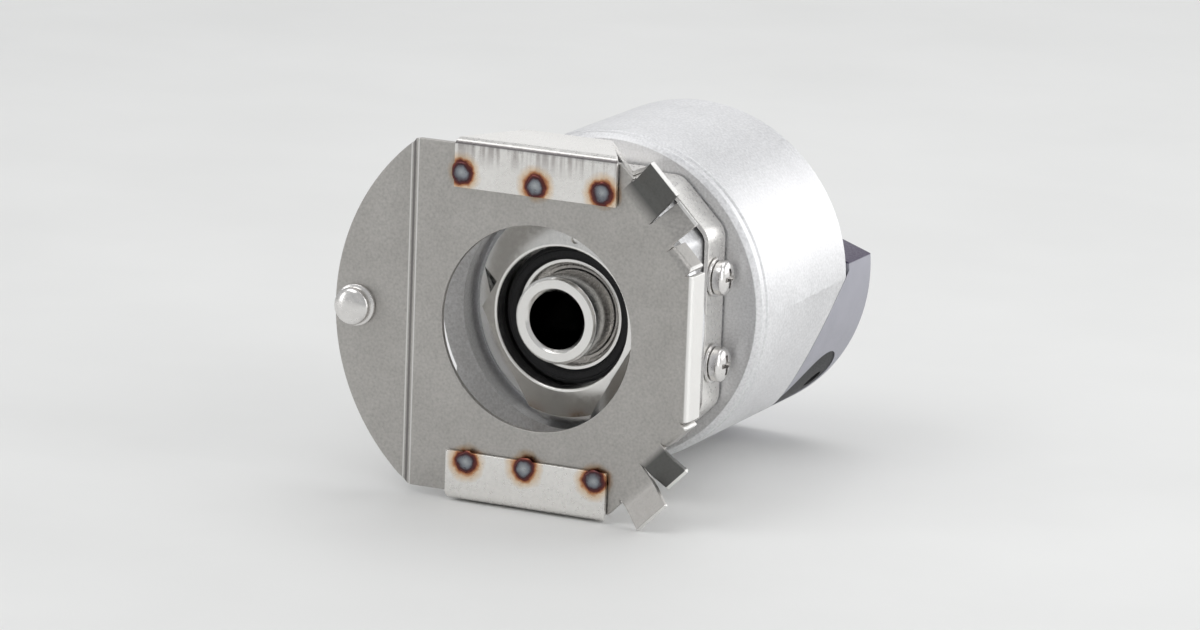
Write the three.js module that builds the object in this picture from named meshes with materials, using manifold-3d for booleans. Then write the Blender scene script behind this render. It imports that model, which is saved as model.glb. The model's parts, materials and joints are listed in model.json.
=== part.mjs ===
// Hollow-shaft rotary encoder, 58 mm class, with a sheet-metal stator coupling and a torque pin.
// Millimetres, +Z up. The shaft axis is Y: the motor side is -Y, the rear cap is at +Y.
// The origin is the centre of the hollow shaft's front mouth.
import * as THREE from 'three';
import { mergeVertices } from 'three/addons/utils/BufferGeometryUtils.js';
import Module from 'manifold-3d';

const wasm = await Module();
wasm.setup();

// ---------------------------------------------------------------- driving dimensions
const FIT = 0.1;                  // gap between two faces that touch on the real object
const PRESS = 0.05;               // gap of a ring that is pressed onto the shaft or into the tube
const OVER = 5;                   // how far a cutting tool runs past the piece that it cuts
const REACH = 60;                 // longer than any piece, for tools that pass right through
const SEG = { big: 40, mid: 28, small: 12, tiny: 8 };
const DIAGONAL = Math.SQRT1_2;

const SHAFT = { r: 7.5, edge: 0.4, bore: 5, mouth: 5.6, boreEnd: 30, end: 44,
  clipY: 35, clipDepth: 0.5, clipWide: 0.9 };
const BEARING = { inner: 7.5, outer: 12, width: 5, ball: 0.95, pitch: 9.75, balls: 9,
  ringWall: 1.15, gap: 0.03, cageHalf: 0.4, cageFront: 1.7, cageBack: 0.6, frontY: 12.4, rearY: 29.6 };
const SPACER_WALL = 1.1;          // bearing spacer and wave spring, inward from the bearing's outside
const SPRING = { room: 1.7, thick: 0.3, edge: 0.15, waves: 3 };
const CLIP = { out: 1.3, thick: 0.8, gapHalf: 1.6 };

const NUT = { front: 2.6, back: 10.8, r: 19, flat: 13.1, rimR: 17.2, rimDrop: 3.4, flatBack: 9.8,
  bore: 12.2, lip: 8.3, lipY: 9.8, stemR: 11.8, stemIn: 10.6, stemEnd: 12.2,
  flatAngles: [30, 150, 210, 330] };
const MARK = { r: 0.8, x: 2, z: 13.9, deep: 0.5 };
const SEAL = { outer: 11.95, inner: 9.2, front: 5.6, back: 9.6, sleeve: 0.45, lip: 0.3, edge: 0.5 };

const BLOCK = { front: 5.6, halfX: 20.9, halfZ: 20.9, corner: 24.8, recess: 20, floor: 11,
  lipR: 23.9, lipBack: 8.4 };
const FLANGE = { front: 20.4, r: 28.9, chamfer: 0.9, back: 22.6, coreR: 17, coreFront: 11.6,
  spigotR: 27.1, spigotEnd: 29.8, spigotWall: 2.4, cavityY: 25, tubeR: 14.6, tubeEnd: 36.4,
  lipR: 11.2, lipDeep: 1.4, grooveY: 26, grooveR: 25.3, grooveW: 2.2, bossWall: 0.4, bossY: 24 };
const O_RING = { r: 26.4, wire: 0.75, sides: 8 };

const HOUSING = { r: 29, wall: 1.6, front: 22.9, back: 57.6, rear: 1.8, edge: 0.5 };
const CAP = { front: 58.4, back: 68, r: 29, wall: 1.6, shoulder: [29, 3], roof: [22, 5.4],
  skirtAngle: 28, skirtY: 46.8, skirtSlope: 2.7, skirtGap: 0.15, seatR: 4.6, sink: 2.6, screwLength: 11 };
const HARNESS_HOLE = { half: 12, low: -18, high: -6 };
const GASKET = { thick: 0.6, inset: 1.7, windowHalf: 15, windowLow: -21, windowHigh: -5 };
const GROMMET = { angle: 43.5, y: 58.5, r: 7.8, flangeR: 8.8, in: 25.6, cableR: 2, cableY: 62.8 };

const SHEET = 1;                  // coupling plate
const THIN = 0.8;                 // brackets and spring hoop
const PLATE = { front: -7.4, half: 30, hole: 17.6, right: 28.3, foldZ: 12.4, foldDeep: 5.2,
  crease: -23.4, wingR: 37.8, cornerU: 29.4, notchU: 31.5, cornerFold: [5.2, 10.6] };
const EAR = { in: 24, left: -7.3, split: 0, right: 4.9, slit: 0.35, inset: 0.03, bend: 2.4, steps: 4,
  frontStart: 31, frontEnd: 37, frontTilt: 24, backStart: 29.6, backEnd: 34.6, backTilt: 26 };
const BRACKET = { x: -0.6, half: 15.2, bottom: 22.7, top: 31.2, gap: 0.3, deep: 4.6, rearHalf: 7.8,
  footStart: 13.6, footEnd: 19.2, miter: 0.3 };
const HOOP = { halfX: 22, halfZ: 23.4, corner: 26.2, front: 13, back: 19.9 };
const PIN = { x: -33.7, r: 3.2, out: 3, dome: 1, collar: 3.6, collarH: 0.7, stem: 2.4, gap: 0.75,
  rivet: 3.9, rivetH: 0.9, rivetEdge: 0.5 };

const SCREW = { head: 3, headH: 2.3, dome: 0.9, shank: 1.45, hole: 1.8, length: 7, tip: 0.5,
  crossHalf: 0.45, crossReach: 1.6, crossDeep: 1.3 };
const HOOP_SCREW = { y: 16, z: 7.5, washer: 3.4, washerH: 0.5, tapDeep: 8 };

const DISC = { hubY: 37.6, hubEnd: 39.8, hubR: 12.5, y: 39.9, thick: 1, r: 19,
  clampEnd: 42.6, clampR: 11, setR: 1, setDeep: 5.5 };
const BOARD = { r: 25.6, hole: 10.5, thick: 1.6, sensorY: 45.4, mainY: 51.4, bolt: 22, post: 2.6,
  screwHole: 1.6, screwLength: 3, screwHead: 2.4, angles: [90, 210, 330] };
const OPTICS = { in: 15.2, out: 22.2, height: 9, ledY: 25.1, ledEnd: 38.9, chipY: 41.9, chipEnd: 45.3 };
const CAP_SCREWS = [[23, -2.5], [-23, -2.5], [0, 1.5]];

// ---------------------------------------------------------------- materials
function finish(color, roughness, metalness) {
  return new THREE.MeshStandardMaterial({ color, roughness, metalness });
}

const satinAluminium = () => finish(0xc9cacb, 0.42, 0.9);
const brushedSheet = () => finish(0xa29d98, 0.45, 0.95);
const polishedSteel = () => finish(0xd2d0cc, 0.2, 1);
const brightSteel = () => finish(0xbfbdb8, 0.28, 1);
const blackRubber = () => finish(0x1c1b1d, 0.7, 0);
const blackPlastic = () => finish(0x1a1a1c, 0.5, 0);
const greyCap = () => finish(0x8b8a92, 0.5, 0.6);
const boardGreen = () => finish(0x1f5a36, 0.55, 0);
const discGlass = () => finish(0xbcd0d4, 0.08, 0);
const brassMetal = () => finish(0xb98f4a, 0.35, 1);

// ---------------------------------------------------------------- solids and booleans
// A closed three.js geometry as a manifold solid, with its faces turned outward.
function solid(geometry) {
  const bare = geometry.clone();
  bare.deleteAttribute('normal');
  bare.deleteAttribute('uv');
  const merged = mergeVertices(bare, 1e-4);
  const position = merged.attributes.position;
  const corner = (i) => new THREE.Vector3().fromBufferAttribute(position, i);
  const index = merged.index.array;
  const kept = [];
  let volume = 0;
  for (let i = 0; i < index.length; i += 3) {
    const [a, b, c] = [index[i], index[i + 1], index[i + 2]];
    if (a === b || b === c || c === a) continue;
    kept.push(a, b, c);
    volume += corner(a).dot(corner(b).cross(corner(c)));
  }
  if (volume < 0) {
    for (let i = 0; i < kept.length; i += 3) [kept[i + 1], kept[i + 2]] = [kept[i + 2], kept[i + 1]];
  }
  return new wasm.Manifold(new wasm.Mesh({
    numProp: 3,
    vertProperties: new Float32Array(position.array),
    triVerts: new Uint32Array(kept),
  }));
}

const join = (first, ...others) => others.reduce((all, one) => all.add(one), first);
const cut = (first, ...others) => others.reduce((all, one) => all.subtract(one), first);
const moved = (shape, x, y, z) => shape.translate([x, y, z]);
const mirrorZ = (shape) => shape.mirror([0, 0, 1]);

// A box between two corners.
function block(x0, x1, y0, y1, z0, z1) {
  const box = new THREE.BoxGeometry(x1 - x0, y1 - y0, z1 - z0);
  return solid(box.translate((x0 + x1) / 2, (y0 + y1) / 2, (z0 + z1) / 2));
}

// A closed (radius, y) profile turned about the shaft axis.
function turned(profile, segments = SEG.mid) {
  const points = [...profile, profile[0]].map(([r, y]) => new THREE.Vector2(r, y));
  return solid(new THREE.LatheGeometry(points, segments));
}

const ring = (r0, r1, y0, y1, segments) => turned([[r0, y0], [r1, y0], [r1, y1], [r0, y1]], segments);
const rod = (r, y0, y1, segments) => ring(0, r, y0, y1, segments);

// The (radius, y) points of a domed end whose tip is at y = tip.
function dome(r, height, tip, steps = 3) {
  return Array.from({ length: steps + 1 }, (_, i) => {
    const a = i * Math.PI / 2 / steps;
    return [r * Math.sin(a), tip + height * (1 - Math.cos(a))];
  });
}

const outline = (points) => new THREE.Shape(points.map(([a, b]) => new THREE.Vector2(a, b)));

function extrude(shape, depth, curveSegments = SEG.small) {
  return new THREE.ExtrudeGeometry(shape, { depth, bevelEnabled: false, curveSegments });
}

// An (x, z) outline made thick along Y.
function slab(shape, y0, y1, curveSegments) {
  return solid(extrude(shape, y1 - y0, curveSegments).rotateX(Math.PI / 2).translate(0, y1, 0));
}

// A (y, z) outline made thick along X.
function rail(points, x0, x1) {
  const turn = new THREE.Matrix4().makeBasis(
    new THREE.Vector3(0, 1, 0), new THREE.Vector3(0, 0, 1), new THREE.Vector3(1, 0, 0));
  return solid(extrude(outline(points), x1 - x0).applyMatrix4(turn).translate(x0, 0, 0));
}

// A square outline of the half sizes given, its corners cut at 45 degrees at a distance from the axis.
function octagon(halfX, halfZ, corner) {
  const reach = corner * Math.SQRT2;
  const [a, b] = [reach - halfX, reach - halfZ];
  return outline([[halfX, -a], [halfX, a], [b, halfZ], [-b, halfZ],
    [-halfX, a], [-halfX, -a], [-b, -halfZ], [b, -halfZ]]);
}

// Turns a piece along Y so that its -Y end faces +X (side = 1) or -X (side = -1), and places it.
function alongX(shape, x, y, z, side = 1) {
  return moved(shape.rotate([0, 0, side > 0 ? 90 : -90]), x, y, z);
}

// Moves a piece off the shaft axis onto the boards' screw circle.
function atAngle(shape, degrees) {
  const a = THREE.MathUtils.degToRad(degrees);
  return moved(shape, Math.cos(a) * BOARD.bolt, 0, Math.sin(a) * BOARD.bolt);
}

const group = new THREE.Group();

function place(name, shape, material) {
  const { vertProperties, triVerts } = shape.getMesh();
  const geometry = new THREE.BufferGeometry();
  geometry.setAttribute('position', new THREE.BufferAttribute(new Float32Array(vertProperties), 3));
  geometry.setIndex([...triVerts]);
  geometry.computeVertexNormals();
  const mesh = new THREE.Mesh(geometry, material);
  mesh.name = name;
  group.add(mesh);
}

// ---------------------------------------------------------------- coupling plate
// The middle line of an ear strip as (u, y): flat up to `start`, then a bend, then straight to `end`.
function earLine(start, end, angle) {
  const line = [[EAR.in, 0], [start, 0]];
  let [u, y] = [start, 0];
  for (let i = 0; i < EAR.steps; i++) {
    const heading = angle * (i + 0.5) / EAR.steps;
    u += Math.cos(heading) * EAR.bend / EAR.steps;
    y += Math.sin(heading) * EAR.bend / EAR.steps;
    line.push([u, y]);
  }
  line.push([end, y + Math.tan(angle) * (end - u)]);
  return line;
}

// A line of points moved sideways by `offset`.
function offsetLine(line, offset) {
  return line.map(([u, y], i) => {
    const before = line[Math.max(i - 1, 0)];
    const after = line[Math.min(i + 1, line.length - 1)];
    const [du, dy] = [after[0] - before[0], after[1] - before[1]];
    const length = Math.hypot(du, dy);
    return [u - dy / length * offset, y + du / length * offset];
  });
}

// Turns (u, y, v) into the frame: u runs along the plate's 45 degree diagonal and v across it.
const ALONG_DIAGONAL = new THREE.Matrix4().makeBasis(new THREE.Vector3(DIAGONAL, 0, DIAGONAL),
  new THREE.Vector3(0, 1, 0), new THREE.Vector3(DIAGONAL, 0, -DIAGONAL));

// An ear strip lies between v0 and v1.
function earStrip(v0, v1, start, end, tilt) {
  const line = earLine(start, end, THREE.MathUtils.degToRad(tilt));
  const half = SHEET / 2 - EAR.inset;
  const profile = outline([...offsetLine(line, -half), ...offsetLine(line, half).reverse()]);
  const strip = extrude(profile, v1 - v0).translate(0, 0, v0).applyMatrix4(ALONG_DIAGONAL);
  return solid(strip.translate(0, PLATE.front + SHEET / 2, 0));
}

// The bent-back edge between the plate's right side and an ear.
function diagonalFold() {
  const [u0, u1] = [PLATE.cornerU - SHEET, PLATE.cornerU];
  const profile = outline([[u0, 0], [u1, 0], [u1, PLATE.foldDeep], [u0, PLATE.foldDeep]]);
  const [v0, v1] = PLATE.cornerFold;
  const fold = extrude(profile, v1 - v0).translate(0, 0, v0);
  return solid(fold.applyMatrix4(ALONG_DIAGONAL).translate(0, PLATE.front, 0));
}

// The wing left of the crease is a segment of a circle about the shaft axis.
function wingOutline() {
  const start = Math.asin(PLATE.half / PLATE.wingR);
  const shape = new THREE.Shape();
  shape.moveTo(PLATE.crease + SHEET, PLATE.half);
  shape.absarc(0, 0, PLATE.wingR, Math.PI - start, Math.PI + start, false);
  shape.lineTo(PLATE.crease + SHEET, -PLATE.half);
  return shape;
}

function plateOutline() {
  const corner = (u, v) => [(u + v) * DIAGONAL, (u - v) * DIAGONAL];
  const upper = [
    [PLATE.right, PLATE.cornerU * Math.SQRT2 - PLATE.right],
    corner(PLATE.cornerU, EAR.left),
    corner(PLATE.notchU, EAR.left),
    [PLATE.notchU * Math.SQRT2 - PLATE.half, PLATE.half],
    [PLATE.crease, PLATE.half],
  ];
  const lower = upper.map(([x, z]) => [x, -z]).reverse();
  return outline([...upper, ...lower]);
}

function couplingPlate() {
  const [front, back] = [PLATE.front, PLATE.front + SHEET];
  const main = slab(plateOutline(), front, back);
  const wing = slab(wingOutline(), front, back);
  const fold = block(PLATE.right - SHEET, PLATE.right, front, front + PLATE.foldDeep,
    -PLATE.foldZ, PLATE.foldZ);
  const frontStrip = earStrip(EAR.left, EAR.split - EAR.slit, EAR.frontStart, EAR.frontEnd, -EAR.frontTilt);
  const backStrip = earStrip(EAR.split, EAR.right, EAR.backStart, EAR.backEnd, EAR.backTilt);
  const ear = join(frontStrip, backStrip, diagonalFold());
  const hole = rod(PLATE.hole, front - OVER, back + OVER, SEG.big);
  const pinHole = moved(rod(PIN.stem + FIT, front - OVER, back + OVER, SEG.small), PIN.x, 0, 0);
  return cut(join(main, wing, fold, ear, mirrorZ(ear)), hole, pinHole);
}

// ---------------------------------------------------------------- coupling brackets, hoop and pin
// A face on the plate, a tapering tongue towards the housing, and a foot on the spring hoop.
function bracket() {
  const b = BRACKET;
  const y0 = PLATE.front - b.gap - THIN;
  const face = block(b.x - b.half, b.x + b.half, y0, y0 + THIN, b.bottom, b.top);
  const tongue = outline([[b.x - b.half, y0], [b.x + b.half, y0], [b.x + b.rearHalf, b.deep],
    [b.x + b.rearHalf, HOOP.back], [b.x - b.rearHalf, HOOP.back], [b.x - b.rearHalf, b.deep]]);
  const column = solid(extrude(tongue, REACH));
  const footZ = HOOP.halfZ + FIT;
  const path = [[y0, b.top - THIN], [b.deep, b.top - THIN], [b.footStart, footZ], [b.footEnd, footZ],
    [b.footEnd, footZ + THIN], [b.footStart + b.miter, footZ + THIN], [b.deep + b.miter, b.top],
    [y0, b.top]];
  return join(face, rail(path, -REACH, REACH).intersect(column));
}

function springHoop() {
  const outer = slab(octagon(HOOP.halfX, HOOP.halfZ, HOOP.corner), HOOP.front, HOOP.back);
  const inner = slab(octagon(HOOP.halfX - THIN, HOOP.halfZ - THIN, HOOP.corner - THIN),
    HOOP.front - OVER, HOOP.back + OVER);
  const holes = [-1, 1].map((end) => alongX(rod(SCREW.hole, -REACH, REACH, SEG.tiny),
    0, HOOP_SCREW.y, end * HOOP_SCREW.z));
  return cut(outer, inner, ...holes);
}

// A domed stud with a collar on the plate's front and a riveted head behind it.
function torquePin() {
  const collarY = PLATE.front - FIT;
  const rearY = PLATE.front + SHEET + PIN.gap;
  const profile = [...dome(PIN.r, PIN.dome, collarY - PIN.out), [PIN.r, collarY - PIN.collarH],
    [PIN.collar, collarY - PIN.collarH], [PIN.collar, collarY], [PIN.stem, collarY], [PIN.stem, rearY],
    [PIN.rivet, rearY], [PIN.rivet - PIN.rivetEdge, rearY + PIN.rivetH], [0, rearY + PIN.rivetH]];
  return moved(turned(profile, SEG.small), PIN.x, 0, 0);
}

// ---------------------------------------------------------------- screws and washers
// A pan-head screw along Y: its head faces -Y and sits on y = 0.
function panScrew(length, head = SCREW.head) {
  const { headH, shank, tip, crossHalf, crossReach, crossDeep } = SCREW;
  const profile = [...dome(head, SCREW.dome, -headH), [head, 0], [shank, 0], [shank, length - tip],
    [shank - tip, length], [0, length]];
  const arm = block(-crossReach, crossReach, -headH - OVER, crossDeep - headH, -crossHalf, crossHalf);
  return cut(turned(profile, SEG.small), arm, arm.rotate([0, 90, 0]));
}

const washer = () => ring(SCREW.hole, HOOP_SCREW.washer, 0, HOOP_SCREW.washerH, SEG.small);

// ---------------------------------------------------------------- front flange, nut and seal
// An octagonal neck with a round lip and recess, a rim, a spigot for the housing and the bearings' tube.
function frontFlange() {
  const f = FLANGE;
  const bore = BEARING.outer + FIT;
  const [grooveFront, grooveBack] = [f.grooveY - f.grooveW / 2, f.grooveY + f.grooveW / 2];
  const seatEnd = f.tubeEnd - f.lipDeep;
  const body = turned([[bore, f.coreFront], [f.coreR, f.coreFront], [f.coreR, f.front],
    [f.r - f.chamfer, f.front], [f.r, f.front + f.chamfer], [f.r, f.back], [f.spigotR, f.back],
    [f.spigotR, grooveFront], [f.grooveR, grooveFront], [f.grooveR, grooveBack],
    [f.spigotR, grooveBack], [f.spigotR, f.spigotEnd], [f.spigotR - f.spigotWall, f.spigotEnd],
    [f.spigotR - f.spigotWall, f.cavityY], [f.tubeR, f.cavityY], [f.tubeR, f.tubeEnd],
    [f.lipR, f.tubeEnd], [f.lipR, seatEnd], [bore, seatEnd]], SEG.big);
  const neck = slab(octagon(BLOCK.halfX, BLOCK.halfZ, BLOCK.corner), BLOCK.front, f.front + f.chamfer);
  const lip = rod(BLOCK.lipR, BLOCK.front, BLOCK.lipBack, SEG.big);
  const recess = rod(BLOCK.recess, BLOCK.front - OVER, BLOCK.floor, SEG.big);
  const seat = rod(bore, BLOCK.floor - OVER, seatEnd, SEG.big);
  const through = rod(f.lipR, 0, f.tubeEnd + OVER);
  const bosses = BOARD.angles.map((angle) =>
    atAngle(rod(BOARD.post + f.bossWall, f.bossY, f.spigotEnd, SEG.tiny), angle));
  return cut(join(body, neck, lip, ...bosses), recess, seat, through, ...hoopTaps());
}

// The four blind holes that take the hoop screws.
function hoopTaps() {
  return [1, -1].flatMap((side) => [-1, 1].map((end) => alongX(
    rod(SCREW.hole, -OVER, HOOP_SCREW.tapDeep, SEG.tiny),
    side * BLOCK.halfX, HOOP_SCREW.y, end * HOOP_SCREW.z, side)));
}

// Round nut with four spanner flats, a bore for the seal and a stem that holds the front bearing.
function sealNut() {
  const n = NUT;
  const body = turned([[n.bore, n.front], [n.rimR, n.front], [n.r, n.front + n.rimDrop], [n.r, n.back],
    [n.stemR, n.back], [n.stemR, n.stemEnd], [n.stemIn, n.stemEnd], [n.stemIn, n.back], [n.lip, n.back],
    [n.lip, n.lipY], [n.bore, n.lipY]], SEG.big);
  const flat = block(n.flat, REACH, n.front - OVER, n.flatBack, -REACH, REACH);
  const flats = n.flatAngles.map((angle) => flat.rotate([0, angle, 0]));
  const mark = moved(rod(MARK.r, n.front - OVER, n.front + MARK.deep, SEG.tiny), MARK.x, 0, MARK.z);
  return cut(body, ...flats, mark);
}

function shaftSeal() {
  const inner = SEAL.inner + SEAL.sleeve;
  return turned([[inner, SEAL.front + SEAL.lip], [inner + SEAL.lip, SEAL.front],
    [SEAL.outer - SEAL.edge, SEAL.front], [SEAL.outer, SEAL.front + SEAL.edge], [SEAL.outer, SEAL.back],
    [inner, SEAL.back]]);
}

function sealSleeve() {
  const [inner, outer] = [SEAL.inner - SEAL.sleeve, SEAL.inner + SEAL.sleeve - FIT];
  return ring(inner, outer, SEAL.front + SEAL.edge, SEAL.back);
}

// ---------------------------------------------------------------- rotor and bearings
function hollowShaft() {
  const s = SHAFT;
  const groove = s.clipY - FIT;
  return turned([[s.mouth, 0], [s.r - s.edge, 0], [s.r, s.edge], [s.r, groove],
    [s.r - s.clipDepth, groove], [s.r - s.clipDepth, s.clipY + s.clipWide], [s.r, s.clipY + s.clipWide],
    [s.r, s.end], [0, s.end], [0, s.boreEnd], [s.bore, s.boreEnd], [s.bore, s.mouth - s.bore]]);
}

const innerRing = (y0) => ring(BEARING.inner + BEARING.gap, BEARING.inner + BEARING.ringWall,
  y0, y0 + BEARING.width);
const outerRing = (y0) => ring(BEARING.outer - BEARING.ringWall, BEARING.outer - BEARING.gap,
  y0, y0 + BEARING.width);

// The balls in their cage, as one piece.
function ballSet(y0) {
  const b = BEARING;
  const y = y0 + b.width / 2;
  const cage = ring(b.pitch - b.cageHalf, b.pitch + b.cageHalf, y - b.cageFront, y + b.cageBack);
  const ball = solid(new THREE.SphereGeometry(b.ball, 6, 4));
  const balls = Array.from({ length: b.balls }, (_, i) => {
    const a = i * 2 * Math.PI / b.balls;
    return moved(ball, Math.cos(a) * b.pitch, y, Math.sin(a) * b.pitch);
  });
  return join(cage, ...balls);
}

// A spring washer whose face rises and falls several times round its turn.
function waveSpring(y0, y1) {
  const [r0, r1] = [BEARING.outer - SPACER_WALL, BEARING.outer - SPRING.edge];
  const points = [[r0, 0], [r1, 0], [r1, SPRING.thick], [r0, SPRING.thick], [r0, 0]];
  const geometry = new THREE.LatheGeometry(points.map(([r, y]) => new THREE.Vector2(r, y)), SEG.mid);
  const position = geometry.attributes.position;
  const rise = (y1 - y0 - SPRING.thick) / 2;
  for (let i = 0; i < position.count; i++) {
    // rounded, so that the two ends of the turn meet exactly
    const angle = Math.round(Math.atan2(position.getX(i), position.getZ(i)) * 1e5) / 1e5;
    position.setY(i, position.getY(i) + y0 + rise * (1 + Math.cos(SPRING.waves * angle)));
  }
  return solid(geometry);
}

function circlip() {
  const body = ring(SHAFT.r - SHAFT.clipDepth + PRESS, SHAFT.r + CLIP.out,
    SHAFT.clipY, SHAFT.clipY + CLIP.thick);
  const gap = block(-CLIP.gapHalf, CLIP.gapHalf, SHAFT.clipY - OVER, SHAFT.clipY + OVER, 0, REACH);
  return cut(body, gap);
}

function discHub() {
  const body = ring(SHAFT.r + PRESS, DISC.hubR, DISC.hubY, DISC.hubEnd);
  const setScrew = rod(DISC.setR, -OVER, DISC.setDeep, SEG.tiny);
  return cut(body, alongX(setScrew, DISC.hubR, (DISC.hubY + DISC.hubEnd) / 2, 0));
}

const codeDisc = () => ring(SHAFT.r + FIT, DISC.r, DISC.y, DISC.y + DISC.thick);
const discClamp = () => ring(SHAFT.r + PRESS, DISC.clampR, DISC.y + DISC.thick + FIT, DISC.clampEnd);

// ---------------------------------------------------------------- electronics
function boardDisc(y0) {
  const holes = BOARD.angles.map((angle) =>
    atAngle(rod(BOARD.screwHole, y0 - OVER, y0 + OVER, SEG.tiny), angle));
  return cut(ring(BOARD.hole, BOARD.r, y0, y0 + BOARD.thick), ...holes);
}

const boardPost = (y0, y1, angle) => atAngle(ring(SCREW.hole, BOARD.post, y0, y1, SEG.tiny), angle);
const chip = (y0, y1) => block(OPTICS.in, OPTICS.out, y0, y1, -OPTICS.height / 2, OPTICS.height / 2);

// ---------------------------------------------------------------- housing and rear cap
// Turns a piece that points along +Z to point the given angle below +X.
const towards = (degrees, shape) => shape.rotate([0, 90 + degrees, 0]);

// Everything behind the sloping plane where the cap reaches forward over the housing's lower right edge.
function skirtWedge(offset) {
  const [out, end] = [CAP.r + OVER, CAP.front + OVER];
  const y = CAP.skirtY - OVER * CAP.skirtSlope + offset;
  const inner = CAP.r - (end - offset - CAP.skirtY) / CAP.skirtSlope;
  return towards(CAP.skirtAngle, rail([[y, out], [end, inner], [end, out]], -REACH, REACH));
}

// The same hole through a rear piece at each cap screw.
function capScrewHoles(r, y0, y1, segments = SEG.tiny) {
  return CAP_SCREWS.map(([x, z]) => moved(rod(r, y0, y1, segments), x, 0, z));
}

function housing() {
  const h = HOUSING;
  const shell = turned([[h.r - h.wall, h.front], [h.r - h.edge, h.front], [h.r, h.front + h.edge],
    [h.r, h.back - h.edge], [h.r - h.edge, h.back], [0, h.back], [0, h.back - h.rear],
    [h.r - h.wall, h.back - h.rear]], SEG.big);
  const [y0, y1] = [h.back - OVER, h.back + OVER];
  const window = block(-HARNESS_HOLE.half, HARNESS_HOLE.half, y0, y1, HARNESS_HOLE.low, HARNESS_HOLE.high);
  const notch = skirtWedge(0).intersect(ring(h.r - h.wall, h.r + OVER, CAP.skirtY - OVER, y1));
  return cut(shell, window, notch, ...capScrewHoles(SCREW.hole, y0, y1));
}

// The cap covers the lower part of the rear wall: a round bottom and a low roof-shaped top.
function capOutline(inset) {
  const r = CAP.r - inset;
  const [shoulderX, shoulderZ] = CAP.shoulder;
  const [roofX, roofZ] = CAP.roof;
  const start = Math.asin((shoulderZ - inset) / r);
  const shape = new THREE.Shape();
  shape.absarc(0, 0, r, start, Math.PI - start, true);
  shape.lineTo(-(roofX * r / shoulderX), roofZ - inset);
  shape.lineTo(roofX * r / shoulderX, roofZ - inset);
  return shape;
}

const capBox = (inset, y0, y1) => slab(capOutline(inset), y0, y1, SEG.mid);

// A round bar pointing out of the shaft axis, along the grommet.
function radialRod(r, y, segments) {
  return towards(GROMMET.angle, moved(rod(r, 0, REACH, segments).rotate([90, 0, 0]), 0, y, 0));
}

// The screw heads sit wholly inside their pockets, so the rear face is clear for the cap to rest on.
function rearCap() {
  const whole = capBox(0, CAP.front, CAP.back);
  const walls = cut(whole, capBox(CAP.wall, CAP.front - OVER, CAP.back - CAP.wall));
  const seats = capScrewHoles(CAP.seatR, CAP.front, CAP.back, SEG.small).map((seat) => seat.intersect(whole));
  const skirtIn = HOUSING.r - HOUSING.wall + FIT;
  const skirt = skirtWedge(CAP.skirtGap)
    .intersect(ring(skirtIn, CAP.r, CAP.skirtY, CAP.front + OVER))
    .intersect(capBox(0, CAP.skirtY, CAP.back));
  const holes = capScrewHoles(SCREW.hole, CAP.front - OVER, CAP.back + OVER);
  const grommetHole = radialRod(GROMMET.r + FIT, GROMMET.y, SEG.mid);
  const pockets = capScrewHoles(SCREW.head + 3 * FIT, CAP.back - CAP.sink, CAP.back + OVER, SEG.small);
  return cut(join(walls, ...seats, skirt), ...holes, ...pockets, grommetHole);
}

function capGasket() {
  const g = GASKET;
  const [y0, y1] = [HOUSING.back + FIT, HOUSING.back + FIT + g.thick];
  const window = block(-g.windowHalf, g.windowHalf, y0 - OVER, y1 + OVER, g.windowLow, g.windowHigh);
  return cut(capBox(g.inset, y0, y1), window, ...capScrewHoles(SCREW.hole, y0 - OVER, y1 + OVER));
}

// The black grommet fills a round hole in the cap's side, with a flange inside that holds it.
function cableGrommet() {
  const g = GROMMET;
  const [inY, endY] = [CAP.front + 3 * FIT, CAP.back - CAP.wall - FIT];
  const skirtIn = HOUSING.r - HOUSING.wall + FIT;
  const bar = radialRod(g.r, g.y, SEG.mid);
  const cover = bar.intersect(ring(skirtIn, CAP.r - FIT, CAP.skirtY, CAP.front))
    .intersect(skirtWedge(CAP.skirtGap));
  const rim = bar.intersect(ring(skirtIn, CAP.r - FIT, CAP.front, endY));
  const neck = bar.intersect(ring(g.in, skirtIn + FIT, inY, endY));
  const flange = radialRod(g.flangeR, g.y, SEG.mid).intersect(ring(g.in, CAP.r - CAP.wall - FIT, inY, endY));
  return cut(join(cover, rim, neck, flange), radialRod(g.cableR, g.cableY, SEG.small));
}

function oRing() {
  const points = Array.from({ length: O_RING.sides }, (_, i) => {
    const a = i * 2 * Math.PI / O_RING.sides;
    return [O_RING.r + O_RING.wire * Math.cos(a), FLANGE.grooveY + O_RING.wire * Math.sin(a)];
  });
  return turned(points, SEG.big);
}

// ---------------------------------------------------------------- assembly
place('coupling_plate', couplingPlate(), brushedSheet());
place('top_bracket', bracket(), brushedSheet());
place('bottom_bracket', mirrorZ(bracket()), brushedSheet());
place('spring_hoop', springHoop(), brushedSheet());
place('torque_pin', torquePin(), brightSteel());

const washerFace = HOOP.halfX + FIT + HOOP_SCREW.washerH;
[[1, 1], [1, -1], [-1, 1], [-1, -1]].forEach(([side, end], i) => {
  const z = end * HOOP_SCREW.z;
  const lying = alongX(washer(), side * washerFace, HOOP_SCREW.y, z, side);
  place(`hoop_washer_${i + 1}`, lying, brightSteel());
  const screw = alongX(panScrew(SCREW.length), side * (washerFace + FIT), HOOP_SCREW.y, z, side);
  place(`hoop_screw_${i + 1}`, screw, brightSteel());
});

place('front_flange', frontFlange(), satinAluminium());
place('seal_nut', sealNut(), polishedSteel());
place('shaft_seal', shaftSeal(), blackRubber());
place('seal_sleeve', sealSleeve(), polishedSteel());
place('hollow_shaft', hollowShaft(), polishedSteel());

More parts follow.
